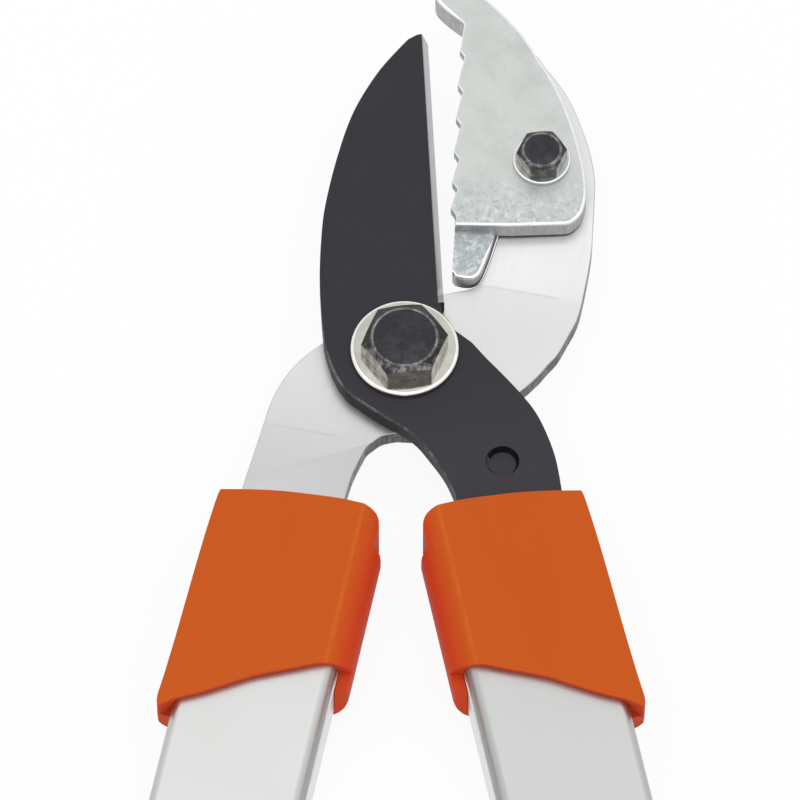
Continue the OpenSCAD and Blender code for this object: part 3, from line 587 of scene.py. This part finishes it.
def bolt_faces(normal, centre):
    """Slots of a bolt: top, rubbed rim (by the bevel), chamfer and lower side in painted shade, other
    sides in painted reflection.
    """
    if normal.z > 0.97:
        return 0
    if normal.z > WALL:
        return 2
    return 3 if normal.y < -0.8 else 4


# Tube, in mm: start of its inner corner and of the rail across it, top of the rail, groove heights
CORNER_OUT = 12.5
RAIL_OUT = 15.5
RAIL_TOP = 16.2
GROOVE = (16.0, 17.0)


def tube_faces(axis, lean, inner):
    """Slots of a tube: face, corner in painted shade, groove in painted shade, rail in painted
    highlight; inner is 1 or -1, its inner side.
    """
    def pick(normal, centre):
        n, c = turned(normal, lean), turned(centre, lean) / MM
        out, side = inner * c.x - axis, inner * n.x
        if out < CORNER_OUT or side < 0.02:
            return 3 if out > RAIL_OUT and c.z < RAIL_TOP and n.z > WALL else 0
        if c.z > GROOVE[1]:
            return 1
        return 2 if c.z > GROOVE[0] else 3
    return pick


zinc = zinc_part("bright_zinc", (0.42, 0.43, 0.42, 1), (0.54, 0.55, 0.54, 1), 0.32)
# Rims of the anvil and washers: painted highlight, much lighter than the zinc.
zinc_rim_painted_highlight = zinc_part("zinc_rim_painted_highlight", (0.80, 0.81, 0.81, 1), (0.88, 0.89, 0.89, 1), 0.26)
# Rims of the arm: painted shade, darker than its face.
arm_rim_painted_shade = zinc_part("arm_rim_painted_shade", (0.40, 0.40, 0.405, 1), (0.50, 0.50, 0.505, 1), 0.34)
steel_pin = zinc_part("rivet_steel", (0.34, 0.34, 0.35, 1), (0.45, 0.45, 0.46, 1), 0.4)
# Upright walls of arm and anvil: painted shade, darker than their faces.
arm_edge_painted_shade = cut_steel_painted_shade("cut_steel_painted_shade", 0.075, 0.16)
zinc_edge_painted_shade = cut_steel_painted_shade("zinc_edge_painted_shade", 0.36, 0.44)
# Lower wall of the anvil's plate and pad: a painted shade of its own.
zinc_low_edge_painted_shade = cut_steel_painted_shade("zinc_low_edge_painted_shade", 0.40, 0.48)
nickel = bright_nickel("bright_nickel", (0.50, 0.495, 0.45, 1), (0.56, 0.552, 0.505, 1), 0.09)
# Rim of the pivot washer: painted highlight, lighter than the washer.
nickel_rim_painted_highlight = bright_nickel("nickel_rim_painted_highlight", (0.82, 0.80, 0.75, 1), (0.88, 0.865, 0.82, 1), 0.16)
black_plain = moulded("insert_plastic", (0.02, 0.02, 0.022, 1), (0.03, 0.03, 0.032, 1), 0, 0.5)
disc_plastic = moulded("disc_plastic", (0.70, 0.69, 0.62, 1), (0.78, 0.77, 0.70, 1), 0, 0.45)

# The head: width of the soft edges in mm, then their segments
dress("blade", [blade_coat(), ground_steel(), blade_worn_and_painted_highlight(), wall_coat_painted_shade()], 0.5, rim=2,
      pick=blade_faces, angle=40, share=blade_rims)
dress("anvil_arm", [arm_face(), arm_edge_painted_shade, arm_rim_painted_shade], 0.4, 3, rim=2, pick=plate_faces)
dress("anvil", [zinc_plate(), zinc_edge_painted_shade, zinc_rim_painted_highlight, zinc_low_edge_painted_shade], 0.6, 3, rim=2,
      pick=anvil_faces, angle=40, share=anvil_rims)
dress("anvil_bolt", bolt_looks("anvil_bolt", ANVIL_BOLT, 4.3), 0.22, rim=1, pick=bolt_faces, angle=20)
dress("pivot_bolt", bolt_looks("pivot_bolt", PIVOT, 7.3), 0.28, rim=1, pick=bolt_faces, angle=20)
for node in ("anvil_nut", "pivot_nut"):
    dress(node, [zinc], 0.2, angle=20)
for node in ("anvil_washer", "anvil_back_washer", "pivot_back_washer"):
    dress(node, [zinc, zinc_rim_painted_highlight], 0.35, 3, rim=1)
dress("pivot_washer", [nickel, nickel_rim_painted_highlight], 0.72, 4, rim=1)
dress("slide_disc", [disc_plastic], 0.08)

# The handles: side, lean, axis, direction of the inner side, tone of the tube
HANDLES = (("left", HANDLE_LEAN, LEFT_AXIS, 1, 0.575), ("right", -HANDLE_LEAN, RIGHT_AXIS, -1, 0.50))
for side, turn, axis, inner, tone in HANDLES:
    # Corner foot and groove of each tube are painted shade, its rail a painted highlight.
    looks = [anodised(side + "_face", turn, tone), anodised(side + "_corner_painted_shade", turn, tone, deep=0.30),
             anodised(side + "_groove_painted_shade", turn, 0.12), anodised(side + "_rail_painted_highlight", turn, 0.78, 0.34)]
    dress(side + "_tube", looks, 0.15, pick=tube_faces(axis, turn, inner))
    dress(side + "_insert", [black_plain], 0.2)
    dress(side + "_rivets", [steel_pin], 0.2)
    crease = inner * (axis + COLLAR_CREASE)
    # Collars: painted shade on the walls, painted highlight along the crease.
    orange = moulded(side + "_orange", ORANGE, ORANGE_LIGHT, turn, 0.5, ORANGE_WALL_PAINTED_SHADE, crease)
    dress(side + "_collar", [orange], 0.4, 3, angle=35)
    dress(side + "_grip", [grip_rubber(side + "_rubber", turn)], 0.5, angle=35)
    cap_orange = moulded(side + "_cap_orange", ORANGE, ORANGE_LIGHT, turn, 0.5)
    dress(side + "_end_cap", [cap_orange], 0.8, 3, angle=35)

# Floor and world: white to the camera and in reflections, plain grey light for everything else
WHITE = (1, 1, 1, 1)
FLOOR_TONE = (0.95, 0.95, 0.95, 1)
FLOOR_WHITE = 0.92
FLOOR_HALF = 4.0
FLOOR_DROP = 0.2
WORLD_TONE = (0.80, 0.80, 0.80, 1)


def seen_directly(tree):
    """1 for camera, glossy and transmission rays, 0 for the rest."""
    ray = tree.nodes.new("ShaderNodeLightPath")
    total = ray.outputs["Is Camera Ray"]
    for key in ("Is Glossy Ray", "Is Transmission Ray"):
        most = tree.nodes.new("ShaderNodeMath")
        most.operation = "MAXIMUM"
        tree.links.new(total, most.inputs[0])
        tree.links.new(ray.outputs[key], most.inputs[1])
        total = most.outputs[0]
    return total


def coloured(tree, kind, tone):
    node = tree.nodes.new(kind)
    node.inputs["Color"].default_value = tone
    return node


def show(tree, out, amount, plain, white):
    """Feeds an output with plain where amount is 0, white where it is 1."""
    mix = tree.nodes.new("ShaderNodeMixShader")
    tree.links.new(amount, mix.inputs[0])
    tree.links.new(plain.outputs[0], mix.inputs[1])
    tree.links.new(white.outputs[0], mix.inputs[2])
    tree.links.new(mix.outputs[0], tree.nodes.new(out).inputs["Surface"])


def floor_look():
    mat = bpy.data.materials.new("floor_white")
    mat.use_nodes = True
    tree = mat.node_tree
    tree.nodes.clear()
    share = tree.nodes.new("ShaderNodeMath")
    share.operation = "MULTIPLY"
    share.inputs[1].default_value = FLOOR_WHITE
    tree.links.new(seen_directly(tree), share.inputs[0])
    white = coloured(tree, "ShaderNodeEmission", WHITE)
    white.inputs["Strength"].default_value = 1.0
    show(tree, "ShaderNodeOutputMaterial", share.outputs[0],
         coloured(tree, "ShaderNodeBsdfDiffuse", FLOOR_TONE), white)
    return mat


low = cad_box[0][2] - FLOOR_DROP * MM
corners = [(x * FLOOR_HALF, y * FLOOR_HALF, low) for x, y in ((-1, -1), (1, -1), (1, 1), (-1, 1))]
floor_mesh = bpy.data.meshes.new("floor")
floor_mesh.from_pydata(corners, [], [(0, 1, 2, 3)])
floor = bpy.data.objects.new("floor", floor_mesh)
scene.collection.objects.link(floor)
floor_mesh.materials.append(floor_look())

world = bpy.data.worlds.new("studio")
scene.world = world
world.use_nodes = True
world.node_tree.nodes.clear()
show(world.node_tree, "ShaderNodeOutputWorld", seen_directly(world.node_tree),
     coloured(world.node_tree, "ShaderNodeBackground", WORLD_TONE),
     coloured(world.node_tree, "ShaderNodeBackground", WHITE))


def softbox(name, place, aim, size, level):
    """Square lamp with an even face of the given brightness."""
    lamp = bpy.data.lights.new(name, "AREA")
    lamp.shape = "RECTANGLE"
    lamp.size, lamp.size_y = size
    lamp.energy = 4 * level * size[0] * size[1]
    o = bpy.data.objects.new(name, lamp)
    scene.collection.objects.link(o)
    o.location = place
    o.rotation_euler = (Vector(aim) - Vector(place)).to_track_quat("-Z", "Y").to_euler()


softbox("overhead", place=(0.1, -0.2, 1.7), aim=(0.1, -0.2, 0.0), size=(2.0, 2.2), level=0.5)

# Camera of the photograph: 29 degrees from straight above, two metres away
THETA = math.radians(29.0)
DISTANCE = 2.0
AIM = Vector((-1.02, -11.48, 14.4)) * MM
camera = bpy.data.cameras.new("camera")
camera.sensor_width = 36.0
camera.lens = 405.0
camera.clip_end = 50.0
eye = bpy.data.objects.new("camera", camera)
scene.collection.objects.link(eye)
eye.location = AIM + DISTANCE * Vector((0, -math.sin(THETA), math.cos(THETA)))
eye.rotation_euler = (THETA, 0, 0)
scene.camera = eye
scene.view_settings.view_transform = "Standard"
